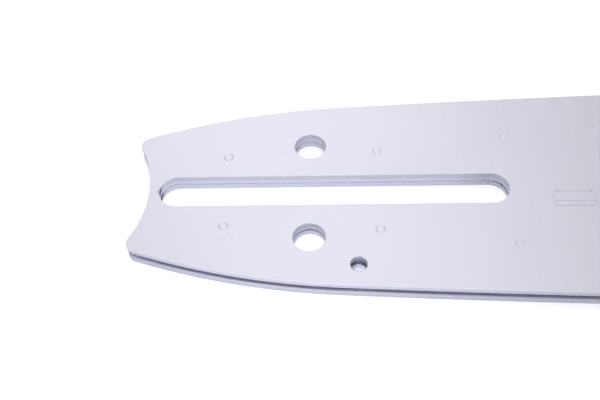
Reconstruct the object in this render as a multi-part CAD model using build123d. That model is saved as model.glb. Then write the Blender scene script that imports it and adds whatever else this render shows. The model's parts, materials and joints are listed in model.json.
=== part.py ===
from build123d import *
import os
from math import acos, asin, atan2, cos, degrees, floor, hypot, pi, radians, sin, sqrt

# A laminated chainsaw guide bar lying flat: two side plates on a thinner core plate. The core stops
# short of both rails, which leaves the groove that the chain's drive links run in. A toothed wheel
# turns on a roller bearing between the side plates at the nose.
# X runs from tail to nose, Y across the bar and Z through its thickness. The origin is the middle of
# the stud slot, on the face that the bar lies on. All sizes are in millimetres.

# Layers
SIDE_PLATE_THICKNESS = 1.4
CORE_THICKNESS = 1.5
GROOVE_DEPTH = 7.3
RAIL_CHAMFER = 0.25

# Stud slot, chain tensioner holes and oil holes
SLOT_LENGTH = 81.1
SLOT_WIDTH = 8.3
TENSIONER_HOLE_X = -5.4
TENSIONER_HOLE_DIAMETER = 7.4
TENSIONER_HOLE_WALL = 1.0
OIL_HOLE_X = 5.5
OIL_HOLE_DIAMETER = 3.6

# Outline: a concave tail, a rounded shoulder, a long belly and a round nose
TAIL_WEB = 2.4
TAIL_RADIUS = 27.5
TAIL_CORNER_RADIUS = 2.5
SHOULDER_X = 1.6
SHOULDER_RADIUS = 170.0
BELLY_X = 162.5
BAR_WIDTH = 60.4
NOSE_X = 379.6
NOSE_RADIUS = 22.0

# Nose sprocket
TOOTH_COUNT = 10
TOOTH_STANDOUT = 0.6
TOOTH_TIP_FILLET = 0.5
GULLET_RADIUS = 2.7
GULLET_FLANK_ANGLE = 27.0
SPROCKET_SIDE_CLEARANCE = 0.1
SPROCKET_TO_CORE = 0.9
CORE_HORN_FILLET = 0.8

# Bearing and rivets
HUB_DIAMETER = 16.0
ROLLER_DIAMETER = 2.5
ROLLER_CLEARANCE = 0.03
ROLLER_GAP = 0.1
RIVET_COUNT = 4
RIVET_CIRCLE_DIAMETER = 9.0
RIVET_DIAMETER = 3.0
RIVET_HEAD_DIAMETER = 4.4
RIVET_HEAD_DEPTH = 0.8
RIVET_CLEARANCE = 0.02

# Heights of the layers
CORE_BOTTOM = SIDE_PLATE_THICKNESS
CORE_TOP = CORE_BOTTOM + CORE_THICKNESS
BAR_THICKNESS = CORE_TOP + SIDE_PLATE_THICKNESS
MID_HEIGHT = BAR_THICKNESS / 2

# The belly's arc touches the nose circle, and the shoulder's arc touches the belly's
BELLY_HEIGHT = BAR_WIDTH / 2
BELLY_RADIUS = (
    (NOSE_X - BELLY_X) ** 2 / (BELLY_HEIGHT - NOSE_RADIUS) + BELLY_HEIGHT + NOSE_RADIUS
) / 2
BELLY_CENTRE = (BELLY_X, BELLY_HEIGHT - BELLY_RADIUS)
NOSE_JOIN_ANGLE = atan2(-BELLY_CENTRE[1], NOSE_X - BELLY_X)
SHOULDER_JOIN_ANGLE = acos((SHOULDER_X - BELLY_X) / BELLY_RADIUS)
SHOULDER_CENTRE = (
    BELLY_CENTRE[0] + (BELLY_RADIUS - SHOULDER_RADIUS) * cos(SHOULDER_JOIN_ANGLE),
    BELLY_CENTRE[1] + (BELLY_RADIUS - SHOULDER_RADIUS) * sin(SHOULDER_JOIN_ANGLE),
)
TAIL_CENTRE_X = -SLOT_LENGTH / 2 - TAIL_WEB - TAIL_RADIUS

# The gullets reach down as far as the groove does, and the bearing fills the sprocket's bore
TOOTH_TIP_RADIUS = NOSE_RADIUS + TOOTH_STANDOUT
GULLET_X = NOSE_RADIUS - GROOVE_DEPTH + GULLET_RADIUS
SPROCKET_THICKNESS = CORE_THICKNESS - 2 * SPROCKET_SIDE_CLEARANCE
ROLLER_CIRCLE_RADIUS = (HUB_DIAMETER + ROLLER_DIAMETER) / 2 + ROLLER_CLEARANCE
SPROCKET_BORE_RADIUS = ROLLER_CIRCLE_RADIUS + ROLLER_DIAMETER / 2 + ROLLER_CLEARANCE
ROLLER_PITCH_ANGLE = 2 * asin((ROLLER_DIAMETER + ROLLER_GAP) / 2 / ROLLER_CIRCLE_RADIUS)
ROLLER_COUNT = floor(2 * pi / ROLLER_PITCH_ANGLE)

NOSE = Location((NOSE_X, 0, 0))


def groove_floor(x):
    """Distance of the groove's floor from the bar's middle line, at x along its shoulder or belly."""
    centre, radius = (SHOULDER_CENTRE, SHOULDER_RADIUS) if x < SHOULDER_X else (BELLY_CENTRE, BELLY_RADIUS)
    return centre[1] + sqrt(radius**2 - (x - centre[0]) ** 2) - GROOVE_DEPTH


# A wall is left between the tensioner holes and the groove, and the oil holes open into its floor
TENSIONER_HOLE_Y = groove_floor(TENSIONER_HOLE_X) - TENSIONER_HOLE_WALL - TENSIONER_HOLE_DIAMETER / 2
OIL_HOLE_Y = groove_floor(OIL_HOLE_X) + OIL_HOLE_DIAMETER / 2


def tail_corner_angle(shoulder_radius):
    """Direction from the tail arc's centre to the corner where that arc meets the shoulder."""
    across = SHOULDER_CENTRE[0] - TAIL_CENTRE_X
    span = hypot(across, SHOULDER_CENTRE[1])
    towards_shoulder = atan2(SHOULDER_CENTRE[1], across)
    opening = acos((span**2 + TAIL_RADIUS**2 - shoulder_radius**2) / (2 * span * TAIL_RADIUS))
    return towards_shoulder + opening


def bar_outline(inset):
    """Plan of the bar with its rails and nose drawn in by inset, and its tail left where it is."""
    shoulder_radius = SHOULDER_RADIUS - inset
    corner_angle = tail_corner_angle(shoulder_radius)
    corner_x = TAIL_CENTRE_X + TAIL_RADIUS * cos(corner_angle)
    shoulder_angle = degrees(acos((corner_x - SHOULDER_CENTRE[0]) / shoulder_radius))
    join_angle = degrees(SHOULDER_JOIN_ANGLE)
    nose_angle = degrees(NOSE_JOIN_ANGLE)
    tail_angle = degrees(corner_angle)
    with BuildSketch() as outline:
        with BuildLine():
            CenterArc(SHOULDER_CENTRE, shoulder_radius, shoulder_angle, join_angle - shoulder_angle)
            CenterArc(BELLY_CENTRE, BELLY_RADIUS - inset, join_angle, nose_angle - join_angle)
            mirror(about=Plane.XZ)
            CenterArc((NOSE_X, 0), NOSE_RADIUS - inset, -nose_angle, 2 * nose_angle)
            CenterArc((TAIL_CENTRE_X, 0), TAIL_RADIUS, -tail_angle, 2 * tail_angle)
        make_face()
    return outline.sketch


def round_tail_corners(plate):
    """Plate with the two upright edges at its tail rounded off."""
    corners = plate.edges().filter_by(Axis.Z).sort_by(Axis.X)[:2]
    return fillet(corners, TAIL_CORNER_RADIUS)


def mounting_holes():
    """Stud slot and the two tensioner holes, which go through every layer."""
    with BuildSketch() as holes:
        SlotOverall(SLOT_LENGTH, SLOT_WIDTH)
        with Locations((TENSIONER_HOLE_X, 0)):
            with GridLocations(0, 2 * TENSIONER_HOLE_Y, 1, 2):
                Circle(TENSIONER_HOLE_DIAMETER / 2)
    return holes.sketch


def rivets(clearance):
    """Rivets of the nose, flush in both faces, each drawn wider by clearance."""
    shank = RIVET_DIAMETER / 2 + clearance
    head = RIVET_HEAD_DIAMETER / 2 + clearance
    profile = Polyline(
        (0, 0),
        (head, 0),
        (shank, RIVET_HEAD_DEPTH),
        (shank, BAR_THICKNESS - RIVET_HEAD_DEPTH),
        (head, BAR_THICKNESS),
        (0, BAR_THICKNESS),
        close=True,
    )
    rivet = revolve(Plane.XZ * make_face(profile), Axis.Z)
    first_angle = 180 / RIVET_COUNT
    places = PolarLocations(RIVET_CIRCLE_DIAMETER / 2, RIVET_COUNT, first_angle)
    return [NOSE * place * rivet for place in places]


def front_side_plate():
    """Upper side plate, with its rail edge broken, its oil hole and the rivets' countersinks."""
    plate = extrude(Pos(0, 0, CORE_TOP) * bar_outline(0), SIDE_PLATE_THICKNESS)
    rail_edges = plate.faces().sort_by(Axis.Z)[-1].edges().sort_by(Axis.X)[1:]
    plate = round_tail_corners(chamfer(rail_edges, RAIL_CHAMFER))
    oil_hole = Pos(OIL_HOLE_X, -OIL_HOLE_Y) * Circle(OIL_HOLE_DIAMETER / 2)
    plate -= extrude(mounting_holes() + oil_hole, BAR_THICKNESS)
    return plate - rivets(RIVET_CLEARANCE)


def back_side_plate():
    """Lower side plate: the upper one turned over about the bar's long middle line."""
    return front_side_plate().rotate(Axis((0, 0, MID_HEIGHT), (1, 0, 0)), 180)


def core_plate():
    """Core, set in from the rails by the groove and hollowed at the nose to clear the sprocket."""
    room = NOSE * Circle(TOOTH_TIP_RADIUS + SPROCKET_TO_CORE)
    outline = bar_outline(GROOVE_DEPTH) - room
    horns = outline.vertices().sort_by(Axis.X)[-2:]
    core = extrude(Pos(0, 0, CORE_BOTTOM) * fillet(horns, CORE_HORN_FILLET), CORE_THICKNESS)
    return round_tail_corners(core) - extrude(mounting_holes(), BAR_THICKNESS)


def gullet():
    """Space between two teeth: a round floor that opens outwards between straight flanks."""
    angle = radians(GULLET_FLANK_ANGLE)
    touch = Vector(GULLET_X - GULLET_RADIUS * sin(angle), GULLET_RADIUS * cos(angle))
    mouth = touch + Vector(cos(angle), sin(angle)) * TOOTH_TIP_RADIUS
    flanks = Polyline(
        (touch.X, -touch.Y),
        (mouth.X, -mouth.Y),
        (mouth.X, mouth.Y),
        (touch.X, touch.Y),
        close=True,
    )
    return make_face(flanks) + Pos(GULLET_X, 0) * Circle(GULLET_RADIUS)


def nose_sprocket():
    """Toothed wheel whose tips stand a little proud of the side plates' nose."""
    wheel = Circle(TOOTH_TIP_RADIUS)
    wheel -= [place * gullet() for place in PolarLocations(0, TOOTH_COUNT)]
    tips = wheel.vertices().filter_by(lambda corner: corner.center().length > NOSE_RADIUS)
    wheel = fillet(tips, TOOTH_TIP_FILLET) - Circle(SPROCKET_BORE_RADIUS)
    seat = NOSE * Pos(0, 0, CORE_BOTTOM + SPROCKET_SIDE_CLEARANCE)
    return seat * Rot(0, 0, 180 / TOOTH_COUNT) * extrude(wheel, SPROCKET_THICKNESS)


def bearing_hub():
    """Inner race, as thick as the core and riveted between the side plates."""
    hub = extrude(Pos(0, 0, CORE_BOTTOM) * Circle(HUB_DIAMETER / 2), CORE_THICKNESS)
    return NOSE * hub - rivets(RIVET_CLEARANCE)


def bearing_rollers():
    """Rollers between hub and sprocket, as long as the sprocket is thick."""
    roller = extrude(Circle(ROLLER_DIAMETER / 2), SPROCKET_THICKNESS)
    seat = NOSE * Pos(0, 0, CORE_BOTTOM + SPROCKET_SIDE_CLEARANCE)
    return [seat * place * roller for place in PolarLocations(ROLLER_CIRCLE_RADIUS, ROLLER_COUNT)]


nodes = {
    "front_side_plate": front_side_plate(),
    "core_plate": core_plate(),
    "back_side_plate": back_side_plate(),
    "nose_sprocket": nose_sprocket(),
    "bearing_hub": bearing_hub(),
    "nose_rivets": Compound(rivets(0)),
}
for number, roller in enumerate(bearing_rollers(), 1):
    nodes[f"bearing_roller_{number:02d}"] = roller

os.makedirs("parts", exist_ok=True)
for name, shape in nodes.items():
    export_step(shape, f"parts/{name}.step")
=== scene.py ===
import json
from math import atan2, ceil, cos, pi, radians, sin, sqrt

import bmesh
import bpy
from mathutils import Matrix, Vector
from mathutils.geometry import delaunay_2d_cdt


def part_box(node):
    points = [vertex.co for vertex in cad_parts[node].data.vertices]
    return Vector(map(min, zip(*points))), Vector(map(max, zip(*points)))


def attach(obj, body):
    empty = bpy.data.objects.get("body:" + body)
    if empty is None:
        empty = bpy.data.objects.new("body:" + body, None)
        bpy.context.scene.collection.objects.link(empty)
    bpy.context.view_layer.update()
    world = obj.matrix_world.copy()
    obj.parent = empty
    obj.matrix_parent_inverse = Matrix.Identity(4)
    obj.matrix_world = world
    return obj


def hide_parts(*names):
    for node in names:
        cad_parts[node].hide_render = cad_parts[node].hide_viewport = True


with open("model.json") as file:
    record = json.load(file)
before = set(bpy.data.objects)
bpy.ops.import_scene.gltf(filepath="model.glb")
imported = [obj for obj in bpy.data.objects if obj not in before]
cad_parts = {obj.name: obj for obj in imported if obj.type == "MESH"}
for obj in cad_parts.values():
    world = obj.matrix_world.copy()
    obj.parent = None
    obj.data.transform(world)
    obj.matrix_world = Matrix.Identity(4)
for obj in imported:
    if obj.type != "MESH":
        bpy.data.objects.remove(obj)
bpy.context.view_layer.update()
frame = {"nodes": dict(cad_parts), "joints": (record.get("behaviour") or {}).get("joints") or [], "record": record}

# A laminated guide bar lying on a white studio floor. Its plates are drawn again here on finer arcs than the
# frame's meshes have, with rounded edges, weld marks and an etched sign, and the edges of its sprocket and
# rivets are rounded. Lengths are in metres.
MM = 0.001

# Places and heights that the frame gives
MOUNTS = {mount["name"]: mount for mount in frame["record"]["mounts"]}
NOSE = Vector(frame["joints"][0]["pos_m"][:2])
BELLY_X, BELLY_HEIGHT = MOUNTS["chain_groove"]["pos_m"][:2]
CORE_BOTTOM, CORE_TOP = (corner.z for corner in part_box("core_plate"))
FRONT_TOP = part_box("front_side_plate")[1].z

# Plan of the plates
NOSE_RADIUS = 22 * MM
SHOULDER_X = 1.6 * MM
SHOULDER_RADIUS = 170 * MM
TAIL_RADIUS = 27.5 * MM
TAIL_MIDDLE_X = -42.95 * MM
TAIL_CORNER_RADIUS = 2.5 * MM
SLOT_LENGTH = 81.1 * MM
SLOT_WIDTH = 8.3 * MM
GROOVE_DEPTH = 7.3 * MM
SPROCKET_ROOM = 23.5 * MM
CORE_HORN_RADIUS = 0.8 * MM
ARC_SAG = 0.002 * MM

# Rivet seats
RIVET_COUNT = 4
RIVET_CIRCLE_RADIUS = 4.5 * MM
RIVET_SEAT_RADIUS = 1.52 * MM
RIVET_SEAT_FLARE = 0.7 * MM
RIVET_SEAT_DEPTH = 0.8 * MM

# Rounds of the plates' edges. A strip beside each round keeps the flat beyond it from being shaded round.
RAIL_EDGE_ROUND = 0.1 * MM
RAIL_LIP_ROUND = 0.4 * MM
HOLE_EDGE_ROUND = 0.12 * MM
OIL_EDGE_ROUND = 0.2 * MM
JOINT_EDGE_ROUND = 0.12 * MM
ROUND_STEPS = 4
HOLDING_STRIP = 0.02 * MM
SMOOTH_ANGLE = radians(25)

# Rounds of the edges of the sprocket and the rivets
NOSE_EDGE_ROUND = 0.1 * MM
NOSE_ROUND_STEPS = 3
CIRCLE_PROFILE = 0.5
FLAT_ANGLE = radians(1)
MERGE_DISTANCE = 0.0005 * MM

# Spot welds in pairs either side of the middle line: the first four pairs, and the pitch and end of those
# beyond them, in millimetres, and then the round line that each weld leaves
WELD_PLACES = [(-24.9, 10.0), (10.6, 11.3), (41.05, 15.3), (63.5, 17.2)]
WELD_PITCH = 30.5
WELD_END_X = 340
WELD_RADIUS = 1.2 * MM
WELD_LINE = 0.45 * MM
WELD_DEPTH = 0.07 * MM
WELD_STEPS = 8

# Etched length sign: a bar's outline, an arrow as long and a thin line at either end between the two
SIGN_START_X = 50.1 * MM
SIGN_END_X = 59.65 * MM
SIGN_BAR_Y = -4.6 * MM
SIGN_BAR_WIDTH = 1.6 * MM
SIGN_ARROW_Y = -1.2 * MM
SIGN_ARROW_HEAD = 1.3 * MM
SIGN_ARROW_WIDTH = 0.7 * MM
SIGN_LINE = 0.22 * MM
SIGN_GAP = 0.5 * MM
SIGN_DEPTH = 0.02 * MM
SIGN_SLOPE = 0.04 * MM

# Settings of the triangulation: only what lies inside the outline, and the distance at which points are one
CDT_INSIDE = 1
CDT_EPSILON = 1e-9

# Material slots of a plate's mesh: its face, the wall of its outline, the walls of its holes, its inner side,
# the oil hole's wall, the sign's lines and the spot that the drill left
FACE, RIM, EDGE, INSIDE, OILED, SIGN, SPOT = range(7)

# Arcs of the rail: the belly's touches the nose circle, and the shoulder's touches the belly's
BELLY_RADIUS = (
    (NOSE.x - BELLY_X) ** 2 / (BELLY_HEIGHT - NOSE_RADIUS) + BELLY_HEIGHT + NOSE_RADIUS
) / 2
BELLY_CENTRE = Vector((BELLY_X, BELLY_HEIGHT - BELLY_RADIUS))
SHOULDER_RISE = sqrt(BELLY_RADIUS**2 - (SHOULDER_X - BELLY_X) ** 2)
SHOULDER_JOIN = BELLY_CENTRE + Vector((SHOULDER_X - BELLY_X, SHOULDER_RISE))
SHOULDER_CENTRE = SHOULDER_JOIN.lerp(BELLY_CENTRE, SHOULDER_RADIUS / BELLY_RADIUS)
TAIL_CENTRE = Vector((TAIL_MIDDLE_X - TAIL_RADIUS, 0))


# Plans of the plates and their holes

def towards(start, end, distance):
    """Point at a distance from start, on the line to end."""
    return start + (end - start).normalized() * distance


def arc(centre, start, turn):
    """Points that follow start along an arc about centre, anticlockwise where turn is positive."""
    ray = start - centre
    # The sag of a short chord is its radius times its turn squared, divided by 8
    longest_turn = sqrt(8 * ARC_SAG / ray.length)
    steps = ceil(abs(turn) / longest_turn)
    return [centre + Matrix.Rotation(turn * step / steps, 2) @ ray for step in range(1, steps + 1)]


def arc_to(centre, start, end):
    """Points that follow start up to end, the short way round centre."""
    ray = start - centre
    last = end - centre
    return arc(centre, start, atan2(ray.cross(last), ray.dot(last)))


def corner_centre(inside, inside_radius, outside, outside_radius, radius):
    """Centre of a rounded corner between the inside of one circle and the outside of another."""
    near = inside_radius - radius
    far = outside_radius + radius
    line = outside - inside
    along = (near**2 - far**2 + line.length_squared) / (2 * line.length)
    across = sqrt(near**2 - along**2)
    foot = inside + line.normalized() * along
    side = line.orthogonal().normalized() * across
    return max(foot + side, foot - side, key=lambda point: point.y)


def tail_and_shoulder(inset):
    """Upper half of a plan from the middle of the tail to the belly, with the rail drawn in by inset."""
    rail = SHOULDER_RADIUS - inset
    corner = corner_centre(SHOULDER_CENTRE, rail, TAIL_CENTRE, TAIL_RADIUS, TAIL_CORNER_RADIUS)
    join = towards(BELLY_CENTRE, SHOULDER_JOIN, BELLY_RADIUS - inset)
    points = [Vector((TAIL_MIDDLE_X, 0))]
    points += arc_to(TAIL_CENTRE, points[-1], towards(TAIL_CENTRE, corner, TAIL_RADIUS))
    points += arc_to(corner, points[-1], towards(SHOULDER_CENTRE, corner, rail))
    points += arc_to(SHOULDER_CENTRE, points[-1], join)
    return points


def whole(half):
    """Closed plan, anticlockwise, from its upper half."""
    lower = [Vector((point.x, -point.y)) for point in half]
    return lower + half[-2:0:-1]


def side_plate_plan():
    """Plan of a side plate, out to the round nose."""
    points = tail_and_shoulder(0)
    points += arc_to(BELLY_CENTRE, points[-1], towards(BELLY_CENTRE, NOSE, BELLY_RADIUS))
    points += arc_to(NOSE, points[-1], NOSE + Vector((NOSE_RADIUS, 0)))
    return whole(points)


def core_plan():
    """Plan of the core, set in by the groove and hollowed for the sprocket between two horns."""
    rail = BELLY_RADIUS - GROOVE_DEPTH
    horn = corner_centre(BELLY_CENTRE, rail, NOSE, SPROCKET_ROOM, CORE_HORN_RADIUS)
    points = tail_and_shoulder(GROOVE_DEPTH)
    points += arc_to(BELLY_CENTRE, points[-1], towards(BELLY_CENTRE, horn, rail))
    points += arc_to(horn, points[-1], towards(NOSE, horn, SPROCKET_ROOM))
    points += arc_to(NOSE, points[-1], NOSE - Vector((SPROCKET_ROOM, 0)))
    return whole(points)


def circle(centre, radius):
    """Clockwise circle, as a hole in a plan runs."""
    return arc(centre, centre + Vector((radius, 0)), -2 * pi)


def slot():
    """Clockwise plan of the stud slot."""
    half_width = SLOT_WIDTH / 2
    end = Vector((SLOT_LENGTH / 2 - half_width, 0))
    up = Vector((0, half_width))
    return [end + up] + arc(end, end + up, -pi) + [-end - up] + arc(-end, -end - up, -pi)


def bore(mount):
    """Plan of a round hole that the frame's record states."""
    return circle(Vector(mount["pos_m"][:2]), mount["dims"]["r_mm"] * MM)


def mounting_holes():
    """Plans of the stud slot and the tensioner holes, which go through every layer."""
    return [slot(), bore(MOUNTS["tensioner_hole_lower"]), bore(MOUNTS["tensioner_hole_upper"])]


def rivet_seats():
    """Plans of the rivets' holes round the nose axis."""
    arms = [Matrix.Rotation(pi * (2 * number + 1) / RIVET_COUNT, 2) for number in range(RIVET_COUNT)]
    return [circle(NOSE + arm @ Vector((RIVET_CIRCLE_RADIUS, 0)), RIVET_SEAT_RADIUS) for arm in arms]


# Plans of the marks on a face

def weld_marks():
    """Plans of the round marks that the spot welds leave on a face."""
    places = list(WELD_PLACES)
    while places[-1][0] + WELD_PITCH < WELD_END_X:
        places.append((places[-1][0] + WELD_PITCH, places[-1][1]))
    return [circle(Vector((x, side * y)) * MM, WELD_RADIUS) for x, y in places for side in (-1, 1)]


def sign_bar():
    """Clockwise plan of the sign's bar, with one round end."""
    radius = SIGN_BAR_WIDTH / 2
    up = Vector((0, radius))
    start = Vector((SIGN_START_X, SIGN_BAR_Y))
    end = Vector((SIGN_END_X - radius, SIGN_BAR_Y))
    return [start + up, end + up] + arc(end, end + up, -pi) + [start - up]


def sign_arrow():
    """Clockwise plan of the sign's arrow, with a head at both ends."""
    middle = Vector(((SIGN_START_X + SIGN_END_X) / 2, SIGN_ARROW_Y))
    tip = Vector(((SIGN_END_X - SIGN_START_X) / 2, 0))
    neck = tip - Vector((SIGN_ARROW_HEAD, 0))
    barb = neck + Vector((0, SIGN_ARROW_WIDTH / 2))
    shaft = neck + Vector((0, SIGN_LINE / 2))
    flip = Matrix.Diagonal((1, -1))
    right = [shaft, barb, tip, flip @ barb, flip @ shaft]
    return [middle + point for point in right] + [middle - point for point in right]


def sign_limit(x):
    """Clockwise plan of a thin line across the sign, from the arrow to the bar."""
    side = Vector((SIGN_LINE / 2, 0))
    top = Vector((x, SIGN_ARROW_Y - SIGN_GAP))
    bottom = Vector((x, SIGN_BAR_Y + SIGN_BAR_WIDTH / 2 + SIGN_GAP))
    return [top - side, top + side, bottom + side, bottom - side]


# Profiles of walls and marks, as (distance in, height) from the top

def wall_profile(top, top_round, bottom, bottom_round):
    """Profile of an upright wall with two rounded edges."""
    turns = [pi / 2 * step / ROUND_STEPS for step in range(ROUND_STEPS + 1)]
    profile = [(top_round + HOLDING_STRIP, top)]
    profile += [(top_round * (1 - sin(turn)), top - top_round * (1 - cos(turn))) for turn in turns]
    profile += [(0, top - top_round - HOLDING_STRIP), (0, bottom + bottom_round + HOLDING_STRIP)]
    profile += [(bottom_round * (1 - cos(turn)), bottom + bottom_round * (1 - sin(turn))) for turn in turns]
    profile += [(bottom_round + HOLDING_STRIP, bottom)]
    return profile


def rivet_seat_profile():
    """Profile of a rivet's hole, flared at the face."""
    return [(RIVET_SEAT_FLARE, FRONT_TOP), (0, FRONT_TOP - RIVET_SEAT_DEPTH), (0, CORE_TOP)]


def weld_profile():
    """Profile of the soft groove round a spot weld."""
    profile = [(HOLDING_STRIP, FRONT_TOP)]
    for step in range(WELD_STEPS + 1):
        share = step / WELD_STEPS
        sunk = WELD_DEPTH * (1 - cos(2 * pi * share)) / 2
        profile.append((-WELD_LINE * share, FRONT_TOP - sunk))
    profile.append((-WELD_LINE - HOLDING_STRIP, FRONT_TOP))
    return profile


def sign_outline_profile():
    """Profile of the line round the sign's bar."""
    sunk = FRONT_TOP - SIGN_DEPTH
    return [(0, FRONT_TOP), (-SIGN_SLOPE, sunk), (SIGN_SLOPE - SIGN_LINE, sunk), (-SIGN_LINE, FRONT_TOP)]


def sign_line_profile():
    """Profile of the edge of one of the sign's lines, down to its floor."""
    return [(0, FRONT_TOP), (-SIGN_SLOPE, FRONT_TOP - SIGN_DEPTH)]


# Meshes

def moved_in(loop, distance):
    """Loop moved by a distance towards its left, which is into the plate."""
    moved = []
    for before, point, after in zip(loop[-1:] + loop[:-1], loop, loop[1:] + loop[:1]):
        first = (point - before).orthogonal().normalized()
        second = (after - point).orthogonal().normalized()
        moved.append(point + (first + second) * distance / (1 + first.dot(second)))
    return moved


def sweep(bm, loop, profile, material):
    """Rings of a loop, one for each step of its profile, joined by faces."""
    rings = [
        [bm.verts.new((*point, height)) for point in moved_in(loop, distance)]
        for distance, height in profile
    ]
    for upper, lower in zip(rings, rings[1:]):
        for number in range(len(loop)):
            quad = (upper[number - 1], lower[number - 1], lower[number], upper[number])
            bm.faces.new(quad).material_index = material
    return rings


def cap(bm, rings, material):
    """Flat face that the first ring bounds and the others, which run clockwise, pierce.

    A triangle inside a hole has all its corners on that hole's ring, and runs against the ring.
    """
    corners = []
    ring_numbers = []
    borders = []
    for number, ring in enumerate(rings):
        places = range(len(corners), len(corners) + len(ring))
        borders += zip(places, [*places[1:], places[0]])
        corners += ring
        ring_numbers += [number] * len(ring)
    plan = [vert.co.to_2d() for vert in corners]
    for triangle in delaunay_2d_cdt(plan, borders, [], CDT_INSIDE, CDT_EPSILON)[2]:
        low = triangle.index(min(triangle))
        backwards = triangle[low - 2] > triangle[low - 1]
        in_hole = backwards and len({ring_numbers[corner] for corner in triangle}) == 1
        if not in_hole:
            bm.faces.new([corners[corner] for corner in triangle]).material_index = material


def finished_mesh(name, bm, materials):
    """Mesh with its materials, shaded smooth except across its sharp edges."""
    mesh = bpy.data.meshes.new(name)
    for material in materials:
        mesh.materials.append(material)
    bm.to_mesh(mesh)
    bm.free()
    mesh.shade_smooth()
    mesh.set_sharp_from_angle(angle=SMOOTH_ANGLE)
    return mesh


def plate_mesh(name, walls, marks, spots, outside, materials):
    """Plate from its walls, outline first, with marks sunk in its top and spots on its underside."""
    bm = bmesh.new()
    rings = [sweep(bm, loop, profile, material) for loop, profile, material in walls]
    tops = [ring[0] for ring in rings]
    for loop, profile, line, middle in marks:
        mark_rings = sweep(bm, loop, profile, line)
        tops.append(mark_rings[0])
        bm.faces.new(mark_rings[-1]).material_index = middle
    bottoms = [ring[-1] for ring in rings]
    for loop, height in spots:
        bottoms += sweep(bm, loop, [(0, height)], SPOT)
        bm.faces.new(bottoms[-1]).material_index = SPOT
    cap(bm, tops, outside)
    cap(bm, bottoms, INSIDE)
    bmesh.ops.recalc_face_normals(bm, faces=bm.faces)
    return finished_mesh(name, bm, materials)


def side_plate_mesh(name, materials):
    """Upper side plate."""
    rail_wall = wall_profile(FRONT_TOP, RAIL_EDGE_ROUND, CORE_TOP, RAIL_LIP_ROUND)
    hole_wall = wall_profile(FRONT_TOP, HOLE_EDGE_ROUND, CORE_TOP, JOINT_EDGE_ROUND)
    oil_wall = wall_profile(FRONT_TOP, OIL_EDGE_ROUND, CORE_TOP, JOINT_EDGE_ROUND)
    oil_hole = bore(MOUNTS["oil_hole_front"])
    walls = [(side_plate_plan(), rail_wall, RIM)]
    walls += [(hole, hole_wall, EDGE) for hole in mounting_holes()]
    walls += [(oil_hole, oil_wall, OILED)]
    walls += [(seat, rivet_seat_profile(), EDGE) for seat in rivet_seats()]
    sign_lines = [sign_arrow(), sign_limit(SIGN_START_X), sign_limit(SIGN_END_X)]
    marks = [(mark, weld_profile(), FACE, FACE) for mark in weld_marks()]
    marks += [(sign_bar(), sign_outline_profile(), SIGN, FACE)]
    marks += [(line, sign_line_profile(), SIGN, SIGN) for line in sign_lines]
    spot = [Vector((point.x, -point.y)) for point in reversed(oil_hole)]
    return plate_mesh(name, walls, marks, [(spot, CORE_TOP)], FACE, materials)


def core_mesh(name, materials):
    """Core between the side plates."""
    wall = wall_profile(CORE_TOP, JOINT_EDGE_ROUND, CORE_BOTTOM, JOINT_EDGE_ROUND)
    walls = [(core_plan(), wall, RIM)] + [(hole, wall, EDGE) for hole in mounting_holes()]
    return plate_mesh(name, walls, [], [], INSIDE, materials)


def rounded_mesh(name, node, material):
    """Mesh of a CAD node with its sharp edges rounded."""
    bm = bmesh.new()
    bm.from_mesh(node.data)
    bm.transform(node.matrix_world)
    bmesh.ops.remove_doubles(bm, verts=bm.verts, dist=MERGE_DISTANCE)
    bmesh.ops.dissolve_limit(bm, angle_limit=FLAT_ANGLE, verts=bm.verts, edges=bm.edges)
    sharp = [edge for edge in bm.edges if edge.is_manifold and edge.calc_face_angle() > SMOOTH_ANGLE]
    bmesh.ops.bevel(
        bm,
        geom=sharp,
        offset=NOSE_EDGE_ROUND,
        segments=NOSE_ROUND_STEPS,
        profile=CIRCLE_PROFILE,
        affect="EDGES",
        clamp_overlap=True,
    )
    bmesh.ops.triangulate(bm, faces=bm.faces)
    return finished_mesh(name, bm, [material])


def new_piece(name, mesh, body, node):
    """Adds a piece that stands for a CAD node and rides on its body."""
    piece = bpy.data.objects.new(name, mesh)
    bpy.context.scene.collection.objects.link(piece)
    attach(piece, body)
    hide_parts(node)


# Shader nodes

def add_node(tree, kind, inputs=None, **settings):
    """New node of a kind in a node tree, with its settings and the values of its inputs."""
    node = tree.nodes.new(kind)
    for setting, value in settings.items():
        setattr(node, setting, value)
    for socket, value in (inputs or {}).items():
        node.inputs[socket].default_value = value
    return node


def add_range(tree, low, high, at_low, at_high, interpolation="LINEAR"):
    """Node that turns a value between low and high into one between at_low and at_high."""
    ends = {"From Min": low, "From Max": high, "To Min": at_low, "To Max": at_high}
    return add_node(tree, "ShaderNodeMapRange", ends, interpolation_type=interpolation)


# Steels

# Grain in marks a metre along each axis, and the softer clouds over it
ACROSS_GRAIN = (1500, 30, 1500)
UPRIGHT_GRAIN = (2500, 2500, 150)
EVEN_GRAIN = (900, 900, 900)
GRAIN_DETAIL = 5.0
CLOUD_SCALE = 40.0
CLOUD_DETAIL = 3.0

# Range in which the sum of two noises mostly lies, and how far the roughness strays from its mean
NOISE_SUM_LOW = 0.5
NOISE_SUM_HIGH = 1.5
ROUGHNESS_SPREAD = 0.06

# Uneven edges of torn places and of patches of dirt, scuffs and painted shade.
# A patch fades out between two shares of its radius.
TEAR_WAVES = 600
TEAR_DETAIL = 4.0
PATCH_WAVES = 1500
PATCH_CORE = 0.6
PATCH_REACH = 1.5


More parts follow.
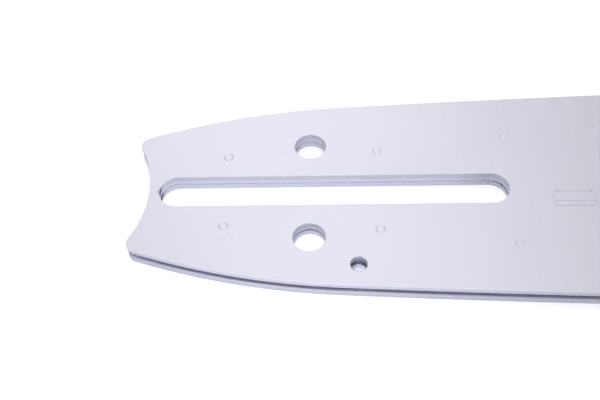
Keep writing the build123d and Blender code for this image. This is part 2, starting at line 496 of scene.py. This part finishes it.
def steel(name, colour, metallic, roughness, grain, variation, depth):
    """Steel with a grain of so many marks a metre along each axis, which varies its colour and is so deep."""
    material = bpy.data.materials.new(name)
    material.use_nodes = True
    tree = material.node_tree
    shader = tree.nodes["Principled BSDF"]
    shader.inputs["Metallic"].default_value = metallic

    place = add_node(tree, "ShaderNodeTexCoord", name="place")
    stretch = add_node(tree, "ShaderNodeMapping", {"Scale": grain})
    marks = add_node(tree, "ShaderNodeTexNoise", {"Scale": 1.0, "Detail": GRAIN_DETAIL})
    clouds = add_node(tree, "ShaderNodeTexNoise", {"Scale": CLOUD_SCALE, "Detail": CLOUD_DETAIL})
    both = add_node(tree, "ShaderNodeMath", operation="ADD")
    tint = add_range(tree, NOISE_SUM_LOW, NOISE_SUM_HIGH, 1 - variation, 1 + variation)
    shade = add_node(tree, "ShaderNodeVectorMath", {0: colour}, name="shade", operation="SCALE")
    gloss = add_range(tree, 0, 1, roughness - ROUGHNESS_SPREAD, roughness + ROUGHNESS_SPREAD)
    bump = add_node(tree, "ShaderNodeBump", {"Distance": depth})

    link = tree.links.new
    link(place.outputs["Object"], stretch.inputs["Vector"])
    link(place.outputs["Object"], clouds.inputs["Vector"])
    link(stretch.outputs["Vector"], marks.inputs["Vector"])
    link(marks.outputs["Fac"], both.inputs[0])
    link(clouds.outputs["Fac"], both.inputs[1])
    link(both.outputs["Value"], tint.inputs["Value"])
    link(tint.outputs["Result"], shade.inputs["Scale"])
    link(shade.outputs["Vector"], shader.inputs["Base Color"])
    link(marks.outputs["Fac"], gloss.inputs["Value"])
    link(gloss.outputs["Result"], shader.inputs["Roughness"])
    link(marks.outputs["Fac"], bump.inputs["Height"])
    link(bump.outputs["Normal"], shader.inputs["Normal"])
    return material


def shade_by(material, factor):
    """Multiplies the brightness of a steel by a factor from its nodes."""
    tree = material.node_tree
    scale = tree.nodes["shade"].inputs["Scale"]
    both = add_node(tree, "ShaderNodeMath", operation="MULTIPLY")
    tree.links.new(scale.links[0].from_socket, both.inputs[0])
    tree.links.new(factor, both.inputs[1])
    tree.links.new(both.outputs["Value"], scale)


def tear(material, bottom, top, shade, wander):
    """Darkens the low part of a punched wall, up to an uneven edge, where the punch tore the steel."""
    tree = material.node_tree
    height = add_node(tree, "ShaderNodeSeparateXYZ")
    wave = add_node(tree, "ShaderNodeTexNoise", {"Scale": TEAR_WAVES, "Detail": TEAR_DETAIL})
    uneven = add_node(tree, "ShaderNodeMath", {1: wander}, operation="MULTIPLY_ADD")
    zone = add_range(tree, bottom + wander / 2, top + wander / 2, shade, 1)

    link = tree.links.new
    place = tree.nodes["place"].outputs["Object"]
    link(place, height.inputs["Vector"])
    link(place, wave.inputs["Vector"])
    link(wave.outputs["Fac"], uneven.inputs[0])
    link(height.outputs["Z"], uneven.inputs[2])
    link(uneven.outputs["Value"], zone.inputs["Value"])
    shade_by(material, zone.outputs["Result"])


def dirt_wear_and_shade_patch(material, centre, radius, flatness, shade):
    """Shades a patch with an uneven edge, so many times as wide as it is high, for dirt, scuffs and painted shade.
    """
    tree = material.node_tree
    offset = add_node(tree, "ShaderNodeVectorMath", {1: centre}, operation="SUBTRACT")
    stretch = add_node(tree, "ShaderNodeVectorMath", {1: (1, 1, flatness)}, operation="MULTIPLY")
    distance = add_node(tree, "ShaderNodeVectorMath", operation="LENGTH")
    wave = add_node(tree, "ShaderNodeTexNoise", {"Scale": PATCH_WAVES})
    uneven = add_node(tree, "ShaderNodeMath", {1: radius}, operation="MULTIPLY_ADD")
    zone = add_range(tree, PATCH_CORE * radius, PATCH_REACH * radius, shade, 1, "SMOOTHSTEP")

    link = tree.links.new
    place = tree.nodes["place"].outputs["Object"]
    link(place, offset.inputs[0])
    link(offset.outputs["Vector"], stretch.inputs[0])
    link(stretch.outputs["Vector"], distance.inputs[0])
    link(place, wave.inputs["Vector"])
    link(wave.outputs["Fac"], uneven.inputs[0])
    link(distance.outputs["Value"], uneven.inputs[2])
    link(uneven.outputs["Value"], zone.inputs["Value"])
    shade_by(material, zone.outputs["Result"])


def add_dirt_and_shade(material, patches):
    """Shades a steel in patches of dirt and painted shade: centre and radius in millimetres, flatness and shade.
    """
    for centre, radius, flatness, shade in patches:
        dirt_wear_and_shade_patch(material, Vector(centre) * MM, radius * MM, flatness, shade)


FACE_STEEL = steel(
    "ground_face",
    colour=(0.86, 0.855, 0.965),
    metallic=1.0,
    roughness=0.33,
    grain=ACROSS_GRAIN,
    variation=0.03,
    depth=0.002 * MM,
)
RIM_STEEL = steel(
    "hardened_rim",
    colour=(0.395, 0.4, 0.475),
    metallic=0.15,
    roughness=0.5,
    grain=UPRIGHT_GRAIN,
    variation=0.04,
    depth=0.004 * MM,
)
# The walls of the holes are one punched steel, painted paler in the core and the back plate than in the front
# plate: painted light, for the light that the floor throws up on the lower layers
EDGE_STEEL = steel(
    "punched_edge",
    colour=(0.41, 0.415, 0.49),
    metallic=0.15,
    roughness=0.5,
    grain=UPRIGHT_GRAIN,
    variation=0.04,
    depth=0.004 * MM,
)
# Back plate's hole walls: paler, painted light from the floor below
BACK_EDGE_PAINTED_LIGHT_STEEL = steel(
    "back_edge_painted_light",
    colour=(0.475, 0.48, 0.575),
    metallic=0.15,
    roughness=0.5,
    grain=UPRIGHT_GRAIN,
    variation=0.04,
    depth=0.004 * MM,
)
# Core's hole walls: paler, painted light from the floor below
CORE_EDGE_STEEL = steel(
    "core_edge",
    colour=(0.48, 0.485, 0.58),
    metallic=0.15,
    roughness=0.5,
    grain=UPRIGHT_GRAIN,
    variation=0.05,
    depth=0.006 * MM,
)
INSIDE_STEEL = steel(
    "groove_wall",
    colour=(0.65, 0.65, 0.78),
    metallic=0.85,
    roughness=0.5,
    grain=EVEN_GRAIN,
    variation=0.1,
    depth=0.01 * MM,
)
OILED_STEEL = steel(
    "oiled_wall",
    colour=(0.325, 0.325, 0.405),
    metallic=0.4,
    roughness=0.4,
    grain=UPRIGHT_GRAIN,
    variation=0.15,
    depth=0.01 * MM,
)
# Dark: oil in the groove, and painted shade of the deep narrow groove
GROOVE_FLOOR_STEEL = steel(
    "groove_floor",
    colour=(0.135, 0.135, 0.21),
    metallic=0.4,
    roughness=0.4,
    grain=UPRIGHT_GRAIN,
    variation=0.15,
    depth=0.01 * MM,
)
SPOT_STEEL = steel(
    "drilled_spot",
    colour=(0.56, 0.56, 0.66),
    metallic=0.1,
    roughness=0.5,
    grain=EVEN_GRAIN,
    variation=0.08,
    depth=0.01 * MM,
)
SIGN_STEEL = steel(
    "etched_line",
    colour=(0.68, 0.67, 0.76),
    metallic=1.0,
    roughness=0.42,
    grain=EVEN_GRAIN,
    variation=0.1,
    depth=0.004 * MM,
)
SPROCKET_STEEL = steel(
    "hardened_teeth",
    colour=(0.2, 0.2, 0.22),
    metallic=1.0,
    roughness=0.35,
    grain=EVEN_GRAIN,
    variation=0.15,
    depth=0.01 * MM,
)
BEARING_STEEL = steel(
    "bearing_race",
    colour=(0.6, 0.6, 0.62),
    metallic=1.0,
    roughness=0.2,
    grain=EVEN_GRAIN,
    variation=0.05,
    depth=0.002 * MM,
)
RIVET_STEEL = steel(
    "rivet_head",
    colour=(0.5, 0.5, 0.55),
    metallic=1.0,
    roughness=0.35,
    grain=EVEN_GRAIN,
    variation=0.1,
    depth=0.01 * MM,
)

# Torn part of the punched core
tear(
    CORE_EDGE_STEEL,
    bottom=CORE_BOTTOM + 0.35 * MM,
    top=CORE_BOTTOM + 0.65 * MM,
    shade=0.76,
    wander=0.5 * MM,
)

# Dirt on the face at the slot's end, painted shade in the groove at the oil hole, and dirt and painted shade on
# the walls of the slot and the tensioner holes: centre and radius in millimetres, flatness and shade
FACE_DIRT = [((-40.95, -0.1, 4.3), 0.8, 1, 0.72)]
# Painted shade: the groove darker round the oil hole, where it runs on under the front plate
GROOVE_PAINTED_SHADE = [((5.5, -20.4, 2.1), 3.5, 1, 0.2)]
WALL_DIRT_AND_SHADE = [
    ((-40.5, 0.2, 3.6), 2.1, 1.7, 0.03),
    ((-40.5, 0.3, 1.4), 2.8, 1.8, 0.03),
    # Painted shade: the slot's right end darker, where less light reaches it
    ((37.0, 3.5, 2.5), 10.0, 1, 0.8),
    # Painted shade in the gap of the lower joint at the slot's right end, with dirt in it: a dark line
    ((40.0, 1.9, 1.6), 6.5, 11, 0.33),
    # The near tensioner hole's walls darker all round
    ((-5.4, -13.2, 3.8), 12.0, 3, 0.85),
    # Painted shade in the gap of the lower joint in the near tensioner hole, with dirt in it: a dark line
    ((-4.2, -11.7, 1.85), 12.0, 20, 0.42),
    # Painted shade in the gap of the lower joint on the far tensioner hole's left side, with dirt in it: a dark
    # patch
    ((-8.8, 14.0, 1.9), 2.0, 3, 0.6),
]
add_dirt_and_shade(FACE_STEEL, FACE_DIRT)
add_dirt_and_shade(INSIDE_STEEL, GROOVE_PAINTED_SHADE)
for wall_steel in (EDGE_STEEL, BACK_EDGE_PAINTED_LIGHT_STEEL, CORE_EDGE_STEEL):
    add_dirt_and_shade(wall_steel, WALL_DIRT_AND_SHADE)

# Faint scuffs on the face, darker or paler than it: place in millimetres and shade
SCUFF_RADIUS = 0.5 * MM
SCUFFS = [
    (-25.1, -11.6, 1.035),
    (-24.7, -11.7, 1.035),
    (-23.7, -12.2, 0.97),
    (-23.2, -14.0, 1.035),
    (-22.8, -13.5, 0.97),
    (-22.7, -15.1, 0.97),
    (-21.5, -13.5, 1.035),
    (-14.1, 10.9, 0.95),
    (-12.7, 10.9, 0.97),
    (-11.9, 11.1, 0.95),
    (21.3, -5.7, 0.97),
    (21.4, -6.7, 0.95),
    (28.7, -12.9, 0.96),
    (29.1, -13.2, 0.95),
    (29.2, -12.7, 1.03),
    (40.8, -17.0, 0.9),
    (42.8, -11.0, 1.03),
]
for x, y, shade in SCUFFS:
    dirt_wear_and_shade_patch(FACE_STEEL, Vector((x * MM, y * MM, FRONT_TOP)), SCUFF_RADIUS, flatness=1, shade=shade)

# Plates. The back plate is the front one turned over about the long axis.
SIDE_PLATE_STEELS = [FACE_STEEL, RIM_STEEL, EDGE_STEEL, INSIDE_STEEL, OILED_STEEL, SIGN_STEEL, SPOT_STEEL]
CORE_STEELS = [INSIDE_STEEL, GROOVE_FLOOR_STEEL, CORE_EDGE_STEEL, INSIDE_STEEL]
front_mesh = side_plate_mesh("front_plate", SIDE_PLATE_STEELS)
new_piece("front_plate", front_mesh, "bar", "front_side_plate")
back_mesh = front_mesh.copy()
back_mesh.transform(Matrix.Translation((0, 0, FRONT_TOP)) @ Matrix.Rotation(pi, 4, "X"))
# The back plate's hole walls take the paler steel, painted light from the floor below
back_mesh.materials[EDGE] = BACK_EDGE_PAINTED_LIGHT_STEEL
new_piece("back_plate", back_mesh, "bar", "back_side_plate")
new_piece("core", core_mesh("core", CORE_STEELS), "bar", "core_plate")

# Nose. The hub and the rollers keep the frame's meshes.
for name, node in frame["nodes"].items():
    if name.startswith("bearing"):
        node.data.materials.clear()
        node.data.materials.append(BEARING_STEEL)
sprocket_mesh = rounded_mesh("sprocket", frame["nodes"]["nose_sprocket"], SPROCKET_STEEL)
new_piece("sprocket", sprocket_mesh, "sprocket", "nose_sprocket")
rivet_mesh = rounded_mesh("rivets", frame["nodes"]["nose_rivets"], RIVET_STEEL)
new_piece("rivets", rivet_mesh, "bar", "nose_rivets")

# Camera
CAMERA_PLACE = (1.1 * MM, -122.514 * MM, 163.784 * MM)
CAMERA_TURN = (radians(36.881), radians(2.398), radians(0.975))
CAMERA_LENS = 52.05
CAMERA_NEAREST = 1 * MM
camera = bpy.data.objects.new("camera", bpy.data.cameras.new("camera"))
camera.location = CAMERA_PLACE
camera.rotation_euler = CAMERA_TURN
camera.data.lens = CAMERA_LENS
camera.data.clip_start = CAMERA_NEAREST
bpy.context.scene.collection.objects.link(camera)
bpy.context.scene.camera = camera
bpy.context.scene.view_settings.view_transform = "Standard"

# Floor, which keeps a shadow up to a distance from the origin and is all white from another
FLOOR_REACH = 20.0
FLOOR_GAP = 0.02 * MM
FLOOR_COLOUR = (0.87, 0.88, 0.96, 1)
FLOOR_WHITE_SHARE = 0.63
FLOOR_SHADOW_REACH = 0.6
FLOOR_ALL_WHITE = 1.5


def floor_material():
    """Floor that the camera and reflections see as white, with a faint shadow left in it near the bar."""
    material = bpy.data.materials.new("white_floor")
    material.use_nodes = True
    tree = material.node_tree
    tree.nodes.clear()
    rays = add_node(tree, "ShaderNodeLightPath")
    seen = add_node(tree, "ShaderNodeMath", operation="MAXIMUM")
    shown = add_node(tree, "ShaderNodeMath", operation="MAXIMUM")
    place = add_node(tree, "ShaderNodeTexCoord")
    distance = add_node(tree, "ShaderNodeVectorMath", operation="LENGTH")
    whiteness = add_range(tree, FLOOR_SHADOW_REACH, FLOOR_ALL_WHITE, FLOOR_WHITE_SHARE, 1)
    share = add_node(tree, "ShaderNodeMath", operation="MULTIPLY")
    matt = add_node(tree, "ShaderNodeBsdfDiffuse", {"Color": FLOOR_COLOUR})
    white = add_node(tree, "ShaderNodeEmission")
    mix = add_node(tree, "ShaderNodeMixShader")
    output = add_node(tree, "ShaderNodeOutputMaterial")

    link = tree.links.new
    link(rays.outputs["Is Camera Ray"], seen.inputs[0])
    link(rays.outputs["Is Glossy Ray"], seen.inputs[1])
    link(seen.outputs["Value"], shown.inputs[0])
    link(rays.outputs["Is Transmission Ray"], shown.inputs[1])
    link(place.outputs["Object"], distance.inputs[0])
    link(distance.outputs["Value"], whiteness.inputs["Value"])
    link(shown.outputs["Value"], share.inputs[0])
    link(whiteness.outputs["Result"], share.inputs[1])
    link(share.outputs["Value"], mix.inputs["Fac"])
    link(matt.outputs["BSDF"], mix.inputs[1])
    link(white.outputs["Emission"], mix.inputs[2])
    link(mix.outputs["Shader"], output.inputs["Surface"])
    return material


floor_mesh = bpy.data.meshes.new("floor")
floor_corners = [(x * FLOOR_REACH, y * FLOOR_REACH, 0) for x, y in ((-1, -1), (1, -1), (1, 1), (-1, 1))]
floor_mesh.from_pydata(floor_corners, [], [(0, 1, 2, 3)])
floor_mesh.materials.append(floor_material())
floor = bpy.data.objects.new("floor", floor_mesh)
floor.location.z = -FLOOR_GAP
bpy.context.scene.collection.objects.link(floor)

# Surroundings, by direction. Their light falls off towards the sides, along an axis turned from the bar's
# long one, and a little towards the front. The horizon is white. Limits are parts of a unit direction.
STUDIO_TURN = radians(15)
STUDIO_LIGHT = 1.05
STUDIO_MIDDLE = 0.1
STUDIO_SIDE = 0.5
STUDIO_SIDE_LIGHT = 0.5
STUDIO_FRONT = -0.5
STUDIO_FRONT_LIGHT = 0.9
STUDIO_BACK = 0.1
HORIZON_TOP = 0.22
HORIZON_FADED = 0.5


def studio_world():
    """Surroundings that are white at the horizon, and above it dimmer at the sides and a little in front."""
    studio = bpy.data.worlds.new("studio")
    studio.use_nodes = True
    tree = studio.node_tree
    light = tree.nodes["Background"]
    light.inputs["Color"].default_value = (1, 1, 1, 1)
    side = (cos(STUDIO_TURN), sin(STUDIO_TURN), 0)

    place = add_node(tree, "ShaderNodeTexCoord")
    direction = add_node(tree, "ShaderNodeSeparateXYZ")
    aside = add_node(tree, "ShaderNodeVectorMath", {1: side}, operation="DOT_PRODUCT")
    off_middle = add_node(tree, "ShaderNodeMath", {1: STUDIO_MIDDLE}, operation="SUBTRACT")
    sideways = add_node(tree, "ShaderNodeMath", operation="ABSOLUTE")
    across = add_range(tree, 0, STUDIO_SIDE, STUDIO_LIGHT, STUDIO_SIDE_LIGHT, "SMOOTHSTEP")
    along = add_range(tree, STUDIO_FRONT, STUDIO_BACK, STUDIO_FRONT_LIGHT, 1, "SMOOTHSTEP")
    both = add_node(tree, "ShaderNodeMath", operation="MULTIPLY")
    horizon = add_range(tree, HORIZON_TOP, HORIZON_FADED, 1, 0, "SMOOTHSTEP")
    brighter = add_node(tree, "ShaderNodeMath", operation="MAXIMUM")

    link = tree.links.new
    link(place.outputs["Generated"], direction.inputs["Vector"])
    link(place.outputs["Generated"], aside.inputs[0])
    link(aside.outputs["Value"], off_middle.inputs[0])
    link(off_middle.outputs["Value"], sideways.inputs[0])
    link(sideways.outputs["Value"], across.inputs["Value"])
    link(direction.outputs["Y"], along.inputs["Value"])
    link(direction.outputs["Z"], horizon.inputs["Value"])
    link(across.outputs["Result"], both.inputs[0])
    link(along.outputs["Result"], both.inputs[1])
    link(both.outputs["Value"], brighter.inputs[0])
    link(horizon.outputs["Result"], brighter.inputs[1])
    link(brighter.outputs["Value"], light.inputs["Strength"])
    return studio


bpy.context.scene.world = studio_world()


# Lamps

def softbox(name, place, aim, width, height, watts):
    """Adds an oblong lamp at a place, turned towards aim, that isn't itself seen or mirrored."""
    lamp = bpy.data.lights.new(name, "AREA")
    lamp.shape = "RECTANGLE"
    lamp.size = width
    lamp.size_y = height
    lamp.energy = watts
    holder = bpy.data.objects.new(name, lamp)
    holder.location = place
    holder.rotation_euler = (Vector(aim) - Vector(place)).to_track_quat("-Z", "Y").to_euler()
    holder.visible_camera = False
    holder.visible_glossy = False
    bpy.context.scene.collection.objects.link(holder)


softbox(
    "top_softbox",
    place=(-0.012, -0.047, 0.073),
    aim=(-0.01, -0.02, 0.0),
    width=0.055,
    height=0.045,
    watts=0.065,
)
softbox(
    "back_softbox",
    place=(0.03, 0.35, 1.0),
    aim=(0.03, 0.0, 0.0),
    width=0.6,
    height=0.4,
    watts=8.2,
)
